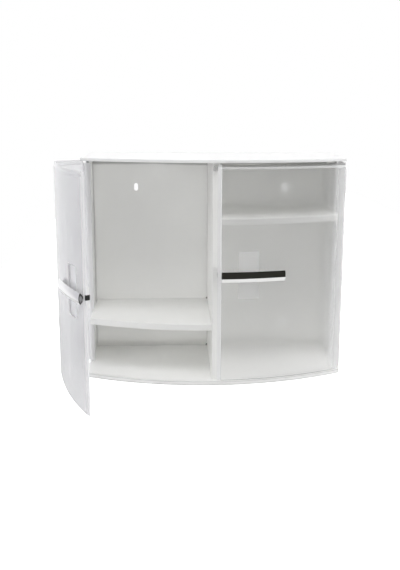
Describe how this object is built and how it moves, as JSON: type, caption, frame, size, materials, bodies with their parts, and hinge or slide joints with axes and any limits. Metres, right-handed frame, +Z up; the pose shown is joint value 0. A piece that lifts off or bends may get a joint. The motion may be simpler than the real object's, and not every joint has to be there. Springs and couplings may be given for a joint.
{
  "type": "medicine cabinet",
  "caption": "Bow-fronted wall medicine cabinet with frosted swinging doors wrapping the front corners, curved chrome bar handles, a centre divider, offset shelves and slotted wall fixing.",
  "frame": {"origin": "middle of the flat wall face at the back of the cabinet", "axes": "+Z up, +Y into the wall, -Y the front with the doors, +X to the right as seen from the front"},
  "size_m": [0.443, 0.2896, 0.342],
  "materials": {
    "case_white": "satin moulded white",
    "door_frosted": "frosted translucent",
    "handle_chrome": "bright plated",
    "fitting_white": "moulded",
    "steel": "plain zinc",
    "buffer_rubber": "matt",
    "strike_steel": "white paint",
    "tab_grey": "moulded",
    "plug_grey": "moulded",
    "magnet_black": "sintered"
  },
  "bodies": {
    "cabinet": {"back_panel": "case_white", "top_panel": "case_white", "bottom_panel": "case_white", "left_side_panel": "case_white", "right_side_panel": "case_white", "centre_divider": "case_white", "left_shelf": "case_white", "right_shelf": "case_white", "left_shelf_pegs": "fitting_white", "right_shelf_pegs": "fitting_white", "bottom_screws": "steel", "case_dowels": "fitting_white", "back_screws": "steel", "left_buffer": "buffer_rubber", "right_buffer": "buffer_rubber", "strike_plate": "strike_steel", "divider_snap_tabs": "tab_grey", "left_upper_bush": "fitting_white", "left_lower_bush": "fitting_white", "right_upper_bush": "fitting_white", "right_lower_bush": "fitting_white"},
    "left_door": {"left_door_panel": "door_frosted", "left_handle": "handle_chrome", "left_handle_plugs": "plug_grey", "left_handle_screws": "steel", "left_catch_block": "fitting_white", "left_catch_magnet": "magnet_black", "left_upper_pivot_pin": "fitting_white", "left_lower_pivot_pin": "fitting_white"},
    "right_door": {"right_door_panel": "door_frosted", "right_handle": "handle_chrome", "right_handle_plugs": "plug_grey", "right_handle_screws": "steel", "right_catch_block": "fitting_white", "right_catch_magnet": "magnet_black", "right_upper_pivot_pin": "fitting_white", "right_lower_pivot_pin": "fitting_white"}
  },
  "joints": [
    {"name": "left_door_hinge", "type": "hinge", "parent": "cabinet", "child": "left_door", "pos_m": [-0.1955, -0.074, 0], "axis": [0, 0, -1], "range_deg": [-58.4, 46.6]},
    {"name": "right_door_hinge", "type": "hinge", "parent": "cabinet", "child": "right_door", "pos_m": [0.1955, -0.074, 0], "axis": [0, 0, 1], "range_deg": [0, 105]}
  ]
}
